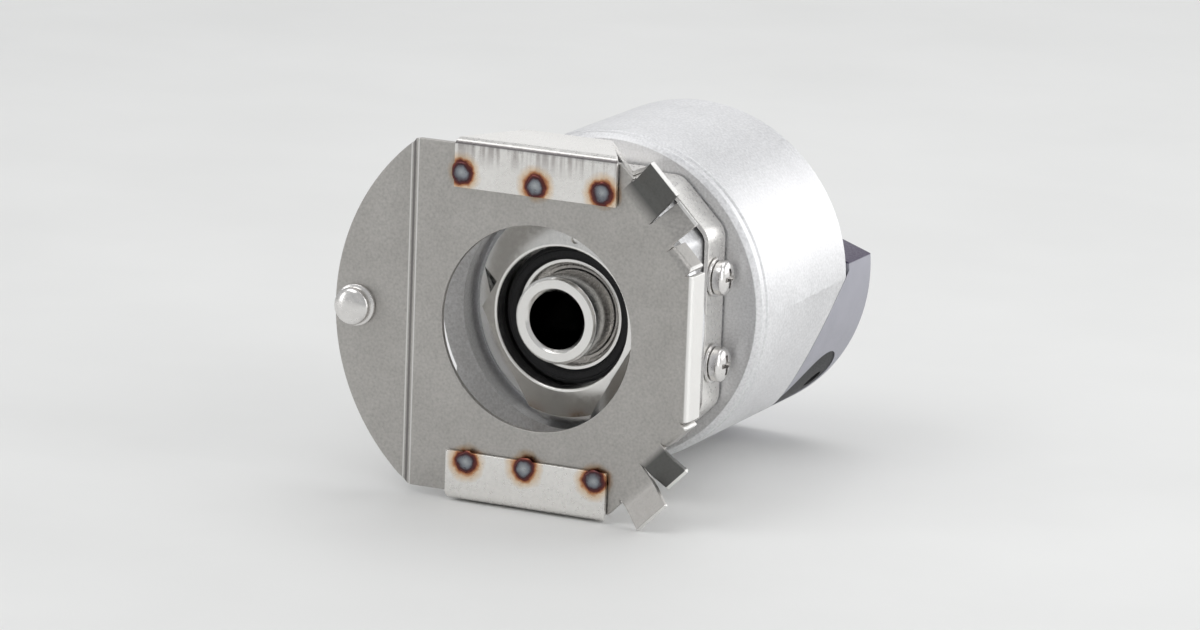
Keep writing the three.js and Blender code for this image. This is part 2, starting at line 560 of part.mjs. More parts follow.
for (const [end, y0] of [['front', BEARING.frontY], ['rear', BEARING.rearY]]) {
  place(`${end}_bearing_outer`, outerRing(y0), brightSteel());
  place(`${end}_bearing_inner`, innerRing(y0), brightSteel());
  place(`${end}_bearing_balls`, ballSet(y0), brightSteel());
}
const spacerStart = BEARING.frontY + BEARING.width + FIT;
const springStart = BEARING.rearY - SPRING.room;
const spacer = ring(BEARING.outer - SPACER_WALL, BEARING.outer - PRESS, spacerStart, springStart - FIT);
place('bearing_spacer', spacer, brightSteel());
place('wave_spring', waveSpring(springStart, BEARING.rearY - FIT), brightSteel());
place('circlip', circlip(), brightSteel());

place('disc_hub', discHub(), satinAluminium());
place('code_disc', codeDisc(), discGlass());
place('disc_clamp', discClamp(), brassMetal());

place('led_block', chip(OPTICS.ledY, OPTICS.ledEnd), blackPlastic());
place('sensor_chip', chip(OPTICS.chipY, OPTICS.chipEnd), blackPlastic());
place('sensor_board', boardDisc(BOARD.sensorY), boardGreen());
place('main_board', boardDisc(BOARD.mainY), boardGreen());
BOARD.angles.forEach((angle, i) => {
  const sensorBack = BOARD.sensorY + BOARD.thick;
  const mainBack = BOARD.mainY + BOARD.thick;
  const post = boardPost(FLANGE.spigotEnd + FIT, BOARD.sensorY - FIT, angle);
  place(`board_post_${i + 1}`, post, brassMetal());
  const between = boardPost(sensorBack + FIT, BOARD.mainY - FIT, angle);
  place(`board_spacer_${i + 1}`, between, brassMetal());
  const screw = panScrew(BOARD.screwLength, BOARD.screwHead).rotate([180, 0, 0]);
  place(`board_screw_${i + 1}`, atAngle(moved(screw, 0, mainBack + FIT, 0), angle), brightSteel());
});

place('housing_o_ring', oRing(), blackRubber());
place('housing', housing(), satinAluminium());
place('cap_gasket', capGasket(), blackRubber());
place('rear_cap', rearCap(), greyCap());
place('cable_grommet', cableGrommet(), blackRubber());
CAP_SCREWS.forEach(([x, z], i) => {
  const screw = panScrew(CAP.screwLength).rotate([180, 0, 0]);
  place(`cap_screw_${i + 1}`, moved(screw, x, CAP.back - CAP.sink + FIT, z), brightSteel());
});

export default group;
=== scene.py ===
"""The looks of a hollow-shaft rotary encoder with a sheet-metal stator coupling.

Lengths are millimetres in the helpers and become metres where a mesh is made. The shaft axis is Y, the
motor side is -Y and +Z is up, as in the CAD frame. Sizes that the frame holds are read from it, and the
rest are named below.
"""
import json
import math

import bmesh
import bpy
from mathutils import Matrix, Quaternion, Vector

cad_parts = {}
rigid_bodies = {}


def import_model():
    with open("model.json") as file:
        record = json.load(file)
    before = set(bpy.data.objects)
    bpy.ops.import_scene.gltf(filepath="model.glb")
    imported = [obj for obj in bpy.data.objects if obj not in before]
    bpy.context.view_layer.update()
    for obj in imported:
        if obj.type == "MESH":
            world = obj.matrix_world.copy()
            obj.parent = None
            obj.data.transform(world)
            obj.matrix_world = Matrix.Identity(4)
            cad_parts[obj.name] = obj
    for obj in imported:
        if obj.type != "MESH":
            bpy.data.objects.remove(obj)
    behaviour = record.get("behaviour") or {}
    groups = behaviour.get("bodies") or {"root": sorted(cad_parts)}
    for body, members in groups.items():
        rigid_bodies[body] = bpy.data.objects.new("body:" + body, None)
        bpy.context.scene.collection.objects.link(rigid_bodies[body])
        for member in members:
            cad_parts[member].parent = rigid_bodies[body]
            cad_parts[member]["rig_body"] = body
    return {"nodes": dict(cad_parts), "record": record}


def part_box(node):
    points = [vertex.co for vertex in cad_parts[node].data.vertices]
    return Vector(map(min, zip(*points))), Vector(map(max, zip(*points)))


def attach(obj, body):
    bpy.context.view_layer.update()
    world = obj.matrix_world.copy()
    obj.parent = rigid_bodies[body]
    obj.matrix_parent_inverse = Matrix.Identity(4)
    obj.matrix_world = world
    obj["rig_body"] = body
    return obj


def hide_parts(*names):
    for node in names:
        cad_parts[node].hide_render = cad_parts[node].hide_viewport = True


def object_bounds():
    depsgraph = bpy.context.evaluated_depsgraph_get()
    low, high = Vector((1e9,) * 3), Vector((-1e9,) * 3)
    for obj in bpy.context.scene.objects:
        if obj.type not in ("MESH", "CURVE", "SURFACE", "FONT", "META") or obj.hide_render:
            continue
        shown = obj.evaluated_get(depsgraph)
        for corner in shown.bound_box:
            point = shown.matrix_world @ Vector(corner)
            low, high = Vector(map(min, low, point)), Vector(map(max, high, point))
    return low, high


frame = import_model()
CAD_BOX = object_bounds()

MM = 0.001
SLOTS = {part["node"]: part["material_slot"] for part in frame["record"]["subparts"]}


def limits(node):
    """A CAD node's lowest and highest corner, in millimetres."""
    low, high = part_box(node)
    return low / MM, high / MM


# ---------------------------------------------------------------- sizes that the boxes don't hold
FIT = 0.1              # gap between pieces that touch
ROUND = 160            # steps in a full turn of a large piece
SHEET = 1.0            # coupling plate
THIN = 0.8             # brackets and spring hoop
DIAGONAL = math.sqrt(0.5)

BORE_R = 5.0
PLATE_FRONT = -7.4
PLATE_RIGHT = 28.3
PLATE_HALF = 30.0
HOLE_R = 17.6
WING_R = 37.8
PIN_X = -33.7
PIN_HOLE_R = 2.5
CREASE_X, CREASE_HALF, CREASE_DEEP = -23.4, 0.7, 0.5
CORNER_U, NOTCH_U = 29.4, 31.5
CORNER_FOLD = (5.2, 10.2)
FOLD_DEEP = 5.2
FOLD_Z = 12.4
BEND_R = 0.9

# an ear's two strips: (near v, far v, bend start u, end u, tilt in degrees; a plus tilt goes back)
EAR_FRONT = (-0.35, -7.3, 31.0, 37.0, -24.0)
EAR_BACK = (4.9, 0.0, 29.6, 34.6, 26.0)

BRACKET_X, BRACKET_HALF, TONGUE_HALF = -0.6, 15.2, 7.8
BRACKET_BOTTOM, BRACKET_TOP = 22.7, 31.2
TAPER_END, FOOT_START = 4.6, 13.6

# hoop screws, and the pan head that they share with the cap screws as (head radius, head height, shank)
SCREW_Y, SCREW_Z = 16, 7.5
SCREW_HOLE_R = 1.8
WASHER_R = 3.4
PAN = (3.0, 2.3, 1.45)
CROSS_HALF, CROSS_REACH, CROSS_DEEP = 0.42, 1.7, 1.3

HOOP_CORNER = 26.2
LIP_R, LIP_BACK = 23.9, 8.4
SEAT_R = 12.1          # the flange's bore for the nut's stem and the bearings

HOUSING_R, HOUSING_WALL = 29, 1.6
CAP_FRONT, CAP_WALL = 58.4, 1.6
SHOULDER_Z, ROOF_HALF = 3, 22
SKIRT_ANGLE, SKIRT_Y, SKIRT_SLOPE = 28, 46.8, 2.7
GROMMET_ANGLE, GROMMET_Y, GROMMET_R = 43.5, 58.5, 7.8
CABLE_Y, CABLE_R = 62.8, 2.0
CAP_SCREWS = [(23, -2.5), (-23, -2.5), (0, 1.5)]
HEAD_SUNK = 2.6

# spot welds as (x, z) on the bracket faces
WELDS = [(-14.2, 25.3), (-0.4, 24.6), (11.8, 24.8), (-11.7, -24.3), (-0.8, -23.9), (12.2, -24.2)]
WELD_R = 1.75


# ---------------------------------------------------------------- meshes
def to_object(name, bm):
    """A bmesh in millimetres as an object in metres."""
    bmesh.ops.remove_doubles(bm, verts=bm.verts, dist=1e-4)
    bmesh.ops.recalc_face_normals(bm, faces=bm.faces)
    bmesh.ops.scale(bm, vec=(MM, MM, MM), verts=bm.verts)
    mesh = bpy.data.meshes.new(name)
    bm.to_mesh(mesh)
    bm.free()
    obj = bpy.data.objects.new(name, mesh)
    bpy.context.scene.collection.objects.link(obj)
    return obj


def bake(obj):
    """Makes the object's modifiers part of its mesh."""
    graph = bpy.context.evaluated_depsgraph_get()
    mesh = bpy.data.meshes.new_from_object(obj.evaluated_get(graph))
    obj.modifiers.clear()
    obj.data = mesh
    return obj


def combine(obj, tool, operation="DIFFERENCE"):
    """Cuts a tool from an object, or joins it, and removes the tool."""
    modifier = obj.modifiers.new("combine", "BOOLEAN")
    modifier.operation = operation
    modifier.solver = "EXACT"
    modifier.object = tool
    bpy.context.view_layer.update()
    bake(obj)
    bpy.data.objects.remove(tool)
    return obj


def soften(obj, width, segments=3, angle=28):
    """Rounds the sharp edges and shades the rest smooth."""
    if width:
        bevel = obj.modifiers.new("edges", "BEVEL")
        bevel.width = width * MM
        bevel.segments = segments
        bevel.limit_method = "ANGLE"
        bevel.angle_limit = math.radians(angle)
        bevel.use_clamp_overlap = True
        bpy.context.view_layer.update()
        bake(obj)
    obj.data.shade_smooth()
    obj.data.set_sharp_from_angle(angle=math.radians(50))
    weighted = obj.modifiers.new("normals", "WEIGHTED_NORMAL")
    weighted.keep_sharp = True
    weighted.weight = 80
    return obj


def thicken(obj, thickness):
    """Gives a surface its sheet's thickness, half to each side."""
    solid = obj.modifiers.new("sheet", "SOLIDIFY")
    solid.thickness = thickness * MM
    solid.offset = 0
    solid.use_even_offset = True
    bpy.context.view_layer.update()
    return bake(obj)


def eased(points, radius, steps=3):
    """A closed outline with its corners turned into short curves.

    Points on the axis, with first value 0, stay.
    """
    out = []
    for i, here in enumerate(points):
        here = Vector(here)
        before = Vector(points[i - 1]) - here
        after = Vector(points[(i + 1) % len(points)]) - here
        if abs(here.x) < 1e-6:
            out.append(here)
            continue
        start = here + before.normalized() * min(radius, before.length * 0.4)
        end = here + after.normalized() * min(radius, after.length * 0.4)
        for k in range(steps + 1):
            t = k / steps
            out.append((1 - t) ** 2 * start + 2 * t * (1 - t) * here + t ** 2 * end)
    return out


def lathe(name, profile, ease=0.0, steps=ROUND):
    """A closed (radius, y) profile turned about the Y axis."""
    points = eased(profile, ease) if ease else [Vector(p) for p in profile]
    angles = [2 * math.pi * i / steps for i in range(steps)]
    bm = bmesh.new()
    rings = []
    for r, y in points:
        if r < 1e-6:
            rings.append([bm.verts.new((0, y, 0))])
            continue
        rings.append([bm.verts.new((r * math.cos(a), y, r * math.sin(a))) for a in angles])
    for one, other in zip(rings, rings[1:] + rings[:1]):
        if len(one) == 1 and len(other) == 1:
            continue
        for i in range(steps):
            j = (i + 1) % steps
            corners = [one[i % len(one)], one[j % len(one)], other[j % len(other)], other[i % len(other)]]
            bm.faces.new(dict.fromkeys(corners))
    return to_object(name, bm)


def rod(name, r, y0, y1, steps=48):
    """A round bar along the Y axis."""
    return lathe(name, [(0, y0), (r, y0), (r, y1), (0, y1)], steps=steps)


def prism(name, outline, start, end, place):
    """An outline made thick. place(a, b, depth) gives the point in the frame."""
    bm = bmesh.new()
    loops = [[bm.verts.new(place(a, b, depth)) for a, b in outline] for depth in (start, end)]
    bm.faces.new(loops[0])
    bm.faces.new(loops[1])
    for i in range(len(outline)):
        j = (i + 1) % len(outline)
        bm.faces.new((loops[0][i], loops[0][j], loops[1][j], loops[1][i]))
    return to_object(name, bm)


def along_y(a, b, depth):
    return (a, depth, b)


def along_x(a, b, depth):
    return (depth, a, b)


def box(name, low, high):
    outline = [(low[0], low[2]), (high[0], low[2]), (high[0], high[2]), (low[0], high[2])]
    return prism(name, outline, low[1], high[1], along_y)


def octagon(half_x, half_z, corner):
    """A square outline with its corners cut at 45 degrees at a distance from the axis."""
    reach = corner / DIAGONAL
    a, b = reach - half_x, reach - half_z
    return [(half_x, -a), (half_x, a), (b, half_z), (-b, half_z),
            (-half_x, a), (-half_x, -a), (-b, -half_z), (b, -half_z)]


def moved(obj, x=0.0, y=0.0, z=0.0):
    for vertex in obj.data.vertices:
        vertex.co += Vector((x, y, z)) * MM
    return obj


def turned(obj, axis, degrees):
    spin = Quaternion(axis, math.radians(degrees))
    for vertex in obj.data.vertices:
        vertex.co = spin @ vertex.co
    return obj


# ---------------------------------------------------------------- materials
class Shader:
    """A material's node tree, with short calls for what the materials share."""

    def __init__(self, name, color, metallic, roughness):
        self.material = bpy.data.materials.new(name)
        self.material.use_nodes = True
        self.tree = self.material.node_tree
        self.surface = self.tree.nodes["Principled BSDF"]
        self.surface.inputs["Base Color"].default_value = (*color, 1)
        self.surface.inputs["Metallic"].default_value = metallic
        self.surface.inputs["Roughness"].default_value = roughness
        self.place = self.tree.nodes.new("ShaderNodeTexCoord").outputs["Object"]

    def link(self, output, target):
        self.tree.links.new(output, target)

    def axes(self):
        """The X, Y and Z of a point in the object's space, in metres."""
        split = self.tree.nodes.new("ShaderNodeSeparateXYZ")
        self.link(self.place, split.inputs[0])
        return split.outputs

    def stretched(self, scale):
        node = self.tree.nodes.new("ShaderNodeMapping")
        node.inputs["Scale"].default_value = scale
        self.link(self.place, node.inputs["Vector"])
        return node.outputs["Vector"]

    def noise(self, per_mm, stretch=(1, 1, 1), detail=3.0):
        node = self.tree.nodes.new("ShaderNodeTexNoise")
        node.inputs["Scale"].default_value = per_mm / MM
        node.inputs["Detail"].default_value = detail
        self.link(self.stretched(stretch), node.inputs["Vector"])
        return node.outputs["Fac"]

    def between(self, value, low, high, from_low=0.35, from_high=0.65):
        node = self.tree.nodes.new("ShaderNodeMapRange")
        names = ("From Min", "From Max", "To Min", "To Max")
        for key, number in zip(names, (from_low, from_high, low, high)):
            node.inputs[key].default_value = number
        self.link(value, node.inputs["Value"])
        return node.outputs["Result"]

    def ramp(self, value, stops):
        node = self.tree.nodes.new("ShaderNodeValToRGB")
        elements = node.color_ramp.elements
        while len(elements) < len(stops):
            elements.new(0.5)
        for element, (position, color) in zip(elements, stops):
            element.position = position
            element.color = (*color, 1)
        self.link(value, node.inputs["Fac"])
        return node.outputs["Color"]

    def math(self, operation, first, second=None):
        node = self.tree.nodes.new("ShaderNodeMath")
        node.operation = operation
        self.link(first, node.inputs[0])
        if isinstance(second, (int, float)):
            node.inputs[1].default_value = second
        elif second is not None:
            self.link(second, node.inputs[1])
        return node.outputs[0]

    def mix(self, factor, first, second, blend="MIX"):
        node = self.tree.nodes.new("ShaderNodeMix")
        node.data_type = "RGBA"
        node.blend_type = blend
        for key, value in ((0, factor), (6, first), (7, second)):
            if isinstance(value, bpy.types.NodeSocket):
                self.link(value, node.inputs[key])
            else:
                node.inputs[key].default_value = value if key == 0 else (*value, 1)
        return node.outputs[2]

    def bump(self, value, strength, distance):
        node = self.tree.nodes.new("ShaderNodeBump")
        node.inputs["Strength"].default_value = strength
        node.inputs["Distance"].default_value = distance * MM
        self.link(value, node.inputs["Height"])
        self.link(node.outputs["Normal"], self.surface.inputs["Normal"])

    def distance_to(self, x, z):
        """How far a point is from a line along Y, in millimetres."""
        axes = self.axes()
        dx = self.math("SUBTRACT", axes["X"], x * MM)
        dz = self.math("SUBTRACT", axes["Z"], z * MM)
        square = self.math("ADD", self.math("MULTIPLY", dx, dx), self.math("MULTIPLY", dz, dz))
        return self.math("DIVIDE", self.math("SQRT", square), MM)


def shade(color, factor):
    return tuple(min(1.0, channel * factor) for channel in color)


def metal(name, color, roughness, grain=3.0, stretch=(1, 1, 1), strength=0.15, mottle=0.06, metallic=1.0):
    """A metal with a fine grain in its colour, roughness and surface."""
    s = Shader(name, color, metallic, roughness)
    fine = s.noise(grain, stretch, 4)
    broad = s.noise(0.15, detail=2)
    speck = s.ramp(fine, [(0.3, shade(color, 1 - mottle)), (0.7, shade(color, 1 + mottle))])
    tone = s.between(broad, 0.9, 1.0)
    dark = s.mix(tone, shade(color, 0.82), (1, 1, 1))
    s.link(s.mix(1.0, speck, dark, "MULTIPLY"), s.surface.inputs["Base Color"])
    s.link(s.between(fine, roughness * 0.8, roughness * 1.25), s.surface.inputs["Roughness"])
    s.bump(fine, strength, 0.02)
    return s


def heat_tint(s, base, reach=4.0):
    """Colours a sheet's front face round the spot welds.

    The colours run outward from blue-grey through dark brown and orange to the sheet's own.
    """
    nearest = None
    for x, z in WELDS:
        far = s.distance_to(x, z)
        nearest = far if nearest is None else s.math("MINIMUM", nearest, far)
    wobble = s.between(s.noise(0.6, detail=3), -0.2, 0.2)
    share = s.math("DIVIDE", s.math("ADD", nearest, wobble), reach)
    behind = s.between(s.axes()["Y"], 0.0, 2.0, -6.4 * MM, -6.0 * MM)
    stops = [(0.0, (0.50, 0.54, 0.58)), (0.24, (0.26, 0.28, 0.32)), (0.36, (0.09, 0.05, 0.06)),
             (0.49, (0.19, 0.055, 0.045)), (0.57, (0.60, 0.29, 0.15)), (0.67, (0.90, 0.73, 0.56)),
             (0.95, (1.0, 1.0, 1.0))]
    tint = s.ramp(s.math("MAXIMUM", share, behind), stops)
    s.link(s.mix(1.0, base, tint, "MULTIPLY"), s.surface.inputs["Base Color"])


def coupling_sheet():
    """Rolled sheet tinted at the welds, with painted shade on two of the ear strips and in the crease, and
    painted highlights on the strips' cut ends, the right fold wall and both sides of the crease.
    """
    s = metal("coupling_sheet", (0.47, 0.455, 0.435), 0.42, grain=2.2, strength=0.3, mottle=0.14)
    color = s.surface.inputs["Base Color"].links[0].from_socket
    painted_highlight, dark = (0.86, 0.85, 0.83), (0.13, 0.13, 0.125)
    axes = s.axes()
    x = s.math("DIVIDE", axes["X"], MM)
    height = s.math("DIVIDE", s.math("ABSOLUTE", axes["Z"]), MM)
    u = s.math("MULTIPLY", s.math("ADD", x, height), DIAGONAL)
    v = s.math("MULTIPLY", s.math("SUBTRACT", x, height), DIAGONAL)
    above = s.between(axes["Z"], 0.0, 1.0, -1 * MM, 1 * MM)
    below = s.between(above, 1.0, 0.0, 0.0, 1.0)

    def within(value, low, high, blur_low=0.1, blur_high=0.1):
        rise = s.between(value, 0.0, 1.0, low - blur_low, low)
        return s.math("MULTIPLY", rise, s.between(value, 1.0, 0.0, high, high + blur_high))

    front_v, back_v = within(v, -7.45, -0.1), within(v, -0.1, 4.95)
    # painted shade: the front strip above the axis and the back strip below it are coloured dark
    front_strip_painted_shade = s.math("MULTIPLY", s.math("MULTIPLY", front_v, above), within(u, 31.0, 36.7, 2.5))
    back_strip_painted_shade = s.math("MULTIPLY", s.math("MULTIPLY", back_v, below), within(u, 29.8, 34.3, 1.2))
    color = s.mix(s.math("ADD", front_strip_painted_shade, back_strip_painted_shade), color, dark)
    # painted highlight: the strips' cut ends and the right fold wall are coloured near white
    cut_edge_highlight = s.math("ADD", s.math("MULTIPLY", front_v, s.between(u, 0.0, 1.0, 36.75, 36.8)),
                       s.math("MULTIPLY", back_v, within(u, 34.35, 36)))
    color = s.mix(s.math("MAXIMUM", cut_edge_highlight, s.between(x, 0.0, 1.0, PLATE_RIGHT - 0.75, PLATE_RIGHT - 0.6)),
                  color, painted_highlight)
    # painted shade: a dark line along the crease, and a painted highlight line at each side of it
    color = s.mix(within(x, CREASE_X - 0.3, CREASE_X - 0.1), color, (0.24, 0.23, 0.225))
    color = s.mix(within(x, CREASE_X - 0.75, CREASE_X - 0.6), color, (0.72, 0.71, 0.69))
    color = s.mix(within(x, CREASE_X + 0.5, CREASE_X + 0.65), color, (0.72, 0.71, 0.69))
    heat_tint(s, color, reach=3.4)
    return s.material


def bracket_sheet():
    """Bright sheet, with drawing marks that run down its face from the bend, and a painted shade line across
    its face just below the bend.
    """
    s = metal("bracket_sheet", (0.86, 0.845, 0.82), 0.32, grain=1.6, strength=0.05, mottle=0.04)
    base = s.surface.inputs["Base Color"].links[0].from_socket
    streaks = s.noise(0.9, (1.0, 0.05, 0.06), 4)
    axes = s.axes()
    height = s.math("DIVIDE", axes["Z"], MM)
    rising = s.between(height, 0.0, 1.0, BRACKET_TOP - 5, BRACKET_TOP - 1.8)
    falling = s.between(height, 1.0, 0.0, BRACKET_TOP - 1.0, BRACKET_TOP - 0.6)
    at_face = s.between(axes["Y"], 1.0, 0.0, -7.9 * MM, -7.6 * MM)
    near_bend = s.math("MULTIPLY", s.math("MULTIPLY", rising, falling), at_face)
    marks = s.ramp(streaks, [(0.40, (0.62, 0.60, 0.60)), (0.56, (1, 1, 1))])
    streaked = s.mix(near_bend, base, s.mix(1.0, base, marks, "MULTIPLY"))
    # painted shade: a dark line across the face just below the bend
    line = s.math("MULTIPLY", s.between(height, 0.0, 1.0, BRACKET_TOP - 1.15, BRACKET_TOP - 0.95),
                  s.between(height, 1.0, 0.0, BRACKET_TOP - 0.65, BRACKET_TOP - 0.45))
    heat_tint(s, s.mix(s.math("MULTIPLY", line, at_face), streaked, (0.16, 0.15, 0.15)))
    return s.material


def polished_steel():
    """Bright outside, with painted shade inside the shaft's bore, whose walls are coloured near black."""
    s = metal("polished_steel", (0.84, 0.83, 0.81), 0.21, grain=1.2, strength=0.02, mottle=0.03)
    base = s.surface.inputs["Base Color"].links[0].from_socket
    # painted shade: the bore's walls, near the axis, are coloured near black
    inside = s.between(s.distance_to(0, 0), 1.0, 0.0, BORE_R + 0.02, BORE_R + 0.06)
    s.link(s.mix(inside, base, (0.045, 0.043, 0.042)), s.surface.inputs["Base Color"])
    return s.material


def cap_grey():
    """Grey cap with painted shade on its roof: it is coloured dark wherever it is higher than 2.75 mm, the
    top of the rear face too.
    """
    s = metal("cap_grey", (0.40, 0.40, 0.45), 0.42, grain=2.5, strength=0.15, metallic=0.5)
    base = s.surface.inputs["Base Color"].links[0].from_socket
    # painted shade: all of the cap higher than 2.75 mm, the roof and the top of the rear face, is coloured
    # dark
    roof = s.between(s.axes()["Z"], 0.0, 1.0, 2.75 * MM, 2.95 * MM)
    s.link(s.mix(roof, base, (0.085, 0.07, 0.115)), s.surface.inputs["Base Color"])
    return s.material


def black_rubber():
    s = Shader("black_rubber", (0.018, 0.018, 0.02), 0.0, 0.6)
    s.surface.inputs["Specular IOR Level"].default_value = 0.25
    grain = s.noise(4.0)
    color = s.ramp(grain, [(0.3, (0.012, 0.012, 0.013)), (0.7, (0.03, 0.03, 0.032))])
    s.link(color, s.surface.inputs["Base Color"])
    s.link(s.between(grain, 0.45, 0.65), s.surface.inputs["Roughness"])
    s.bump(grain, 0.2, 0.02)
    return s.material


def black_plastic():
    s = Shader("black_plastic", (0.015, 0.015, 0.017), 0.0, 0.42)
    grain = s.noise(2.5, detail=4)
    color = s.ramp(grain, [(0.3, (0.01, 0.01, 0.012)), (0.7, (0.026, 0.026, 0.03))])
    s.link(color, s.surface.inputs["Base Color"])
    s.link(s.between(grain, 0.35, 0.52), s.surface.inputs["Roughness"])
    s.bump(grain, 0.25, 0.03)
    return s.material


def board_green():
    s = Shader("board_green", (0.02, 0.12, 0.05), 0.0, 0.35)
    tracks = s.noise(0.35, (1, 0.2, 1), 1)
    ground, track = (0.015, 0.10, 0.045), (0.03, 0.17, 0.07)
    color = s.ramp(tracks, [(0.46, ground), (0.5, track), (0.54, ground)])
    s.link(color, s.surface.inputs["Base Color"])
    s.bump(tracks, 0.15, 0.03)
    return s.material


def disc_glass():
    s = Shader("disc_glass", (0.80, 0.88, 0.90), 0.0, 0.06)
    s.surface.inputs["Transmission Weight"].default_value = 0.9
    haze = s.noise(0.5)
    s.link(s.between(haze, 0.04, 0.1), s.surface.inputs["Roughness"])
    return s.material


def make_materials():
    return {
        "coupling_sheet": coupling_sheet(),
        "bracket_sheet": bracket_sheet(),
        "bright_steel": metal("bright_steel", (0.78, 0.765, 0.75), 0.22, grain=1.5, strength=0.08).material,
        "polished_steel": polished_steel(),
        "satin_aluminium": metal("satin_aluminium", (0.79, 0.79, 0.80), 0.46, grain=2.4, strength=0.3,
                                 mottle=0.13, metallic=0.9).material,
        "cap_grey": cap_grey(),
        "black_rubber": black_rubber(),
        "black_plastic": black_plastic(),
        "board_green": board_green(),
        "board_brass": metal("board_brass", (0.66, 0.47, 0.21), 0.3, grain=1.5).material,
        "disc_glass": disc_glass(),
    }


MATERIALS = make_materials()


def stands_for(obj, node):
    """The object takes a CAD node's place, body and material slot."""
    slot = SLOTS[node]
    obj.data.materials.clear()
    obj.data.materials.append(MATERIALS[slot])
    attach(obj, frame["nodes"][node]["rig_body"])
    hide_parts(node)


# ---------------------------------------------------------------- coupling plate
def diagonal_point(u, v):
    """A point of the upper right ear: u runs out along the 45 degree diagonal and v across it."""
    return ((u + v) * DIAGONAL, (u - v) * DIAGONAL)


def arc(radius, start, end, steps):
    """Points on a circle about the shaft axis, between two angles in radians."""
    angles = [start + (end - start) * i / steps for i in range(steps + 1)]
    return [(radius * math.cos(a), radius * math.sin(a)) for a in angles]


def circle(x, z, radius, steps):
    return [(x + px, z + pz) for px, pz in arc(radius, 0, 2 * math.pi, steps)[:-1]]


def upper_edge():
    """The plate's outline above the axis, from its right side to the crease, with the ear's bend lines."""
    near_b, far_b, start_b = EAR_BACK[:3]
    near_a, far_a, start_a = EAR_FRONT[:3]
    inner = PLATE_RIGHT - SHEET / 2 - BEND_R
    inner_u = CORNER_U - SHEET / 2 - BEND_R
    corner = [(inner_u, CORNER_FOLD[1]), (inner_u, CORNER_FOLD[0]), (CORNER_U, CORNER_FOLD[0]),
              (start_b, near_b), (start_b, far_b), (CORNER_U - 0.6, (near_a + far_b) / 2),
              (start_a, near_a), (start_a, far_a), (start_a, far_a - 0.3), (NOTCH_U, far_a - 0.3)]
    return [(inner, FOLD_Z), *[diagonal_point(u, v) for u, v in corner],
            (NOTCH_U / DIAGONAL - PLATE_HALF, PLATE_HALF), (CREASE_X + CREASE_HALF, PLATE_HALF)]


def fill(bm, loops, y):
    """Flat faces between closed (x, z) loops; a loop inside another is a hole."""
    edges = []
    for loop in loops:
        verts = [bm.verts.new((x, y, z)) for x, z in loop]
        edges += [bm.edges.new((verts[i], verts[(i + 1) % len(verts)])) for i in range(len(verts))]
    bmesh.ops.triangle_fill(bm, use_beauty=True, edges=edges)


def strip(bm, left, right):
    """Faces between two lines of points."""
    rows = [[bm.verts.new(p) for p in line] for line in (left, right)]
    for i in range(len(left) - 1):
        bm.faces.new((rows[0][i], rows[0][i + 1], rows[1][i + 1], rows[1][i]))


def ear_strip(bm, ear, y, side):
    """One strip of an ear, bent where it leaves the plate. side is 1 above the axis and -1 below."""
    near, far, start, end, tilt = ear
    angle = math.radians(tilt)
    line = [(start, 0.0)]
    steps, bend = 6, 2.4
    for i in range(steps):
        heading = angle * (i + 0.5) / steps
        u, depth = line[-1]
        line.append((u + math.cos(heading) * bend / steps, depth + math.sin(heading) * bend / steps))
    u, depth = line[-1]
    line.append((end, depth + math.tan(angle) * (end - u)))
    edges = []
    for v in (near, far):
        points = [diagonal_point(u, v) for u, _ in line]
        edges.append([(x, y + depth, side * z) for (x, z), (_, depth) in zip(points, line)])
    strip(bm, *edges)


def fold_line(edge, y):
    """A bent-back edge as (distance outward, y): a bend of 90 degrees and a straight wall."""
    inner = edge - SHEET / 2 - BEND_R
    angles = [math.pi / 2 * i / 6 for i in range(7)]
    line = [(inner + BEND_R * math.sin(a), y + BEND_R * (1 - math.cos(a))) for a in angles]
    return [*line, (edge - SHEET / 2, y + FOLD_DEEP - SHEET / 2)]


def fold_walls(bm, y):
    """The plate's right edge and its two cut corners, bent back through a right angle."""
    line = fold_line(PLATE_RIGHT, y)
    strip(bm, [(x, depth, FOLD_Z) for x, depth in line], [(x, depth, -FOLD_Z) for x, depth in line])
    for side in (1, -1):
        edges = []
        for v in CORNER_FOLD:
            points = [(diagonal_point(u, v), depth) for u, depth in fold_line(CORNER_U, y)]
            edges.append([(x, depth, side * z) for (x, z), depth in points])
        strip(bm, *edges)


def coupling_plate():
    y = PLATE_FRONT + SHEET / 2
    bm = bmesh.new()
    upper = upper_edge()
    main = upper + [(x, -z) for x, z in reversed(upper)]
    fill(bm, [main, circle(0, 0, HOLE_R, 128)], y)
    wing_x = CREASE_X - CREASE_HALF
    wing_z = math.sqrt(WING_R ** 2 - wing_x ** 2)
    start = math.pi - math.asin(wing_z / WING_R)
    fill(bm, [arc(WING_R, start, 2 * math.pi - start, 64), circle(PIN_X, 0, PIN_HOLE_R, 32)], y)
    top = [(CREASE_X + CREASE_HALF, y, PLATE_HALF), (CREASE_X, y + CREASE_DEEP, PLATE_HALF - 0.2),
           (wing_x, y, wing_z)]
    strip(bm, top, [(x, depth, -z) for x, depth, z in top])
    for side in (1, -1):
        ear_strip(bm, EAR_BACK, y, side)
        ear_strip(bm, EAR_FRONT, y, side)
    fold_walls(bm, y)
    obj = to_object("coupling_plate_sheet", bm)
    thicken(obj, SHEET)
    return soften(obj, 0.14, segments=2, angle=50)


# ---------------------------------------------------------------- brackets, hoop and pin
def bend_arc(centre, radius, start, end, steps=6):
    return [(centre[0] + radius * math.cos(a), centre[1] + radius * math.sin(a))
            for a in [math.radians(start + (end - start) * i / steps) for i in range(steps + 1)]]


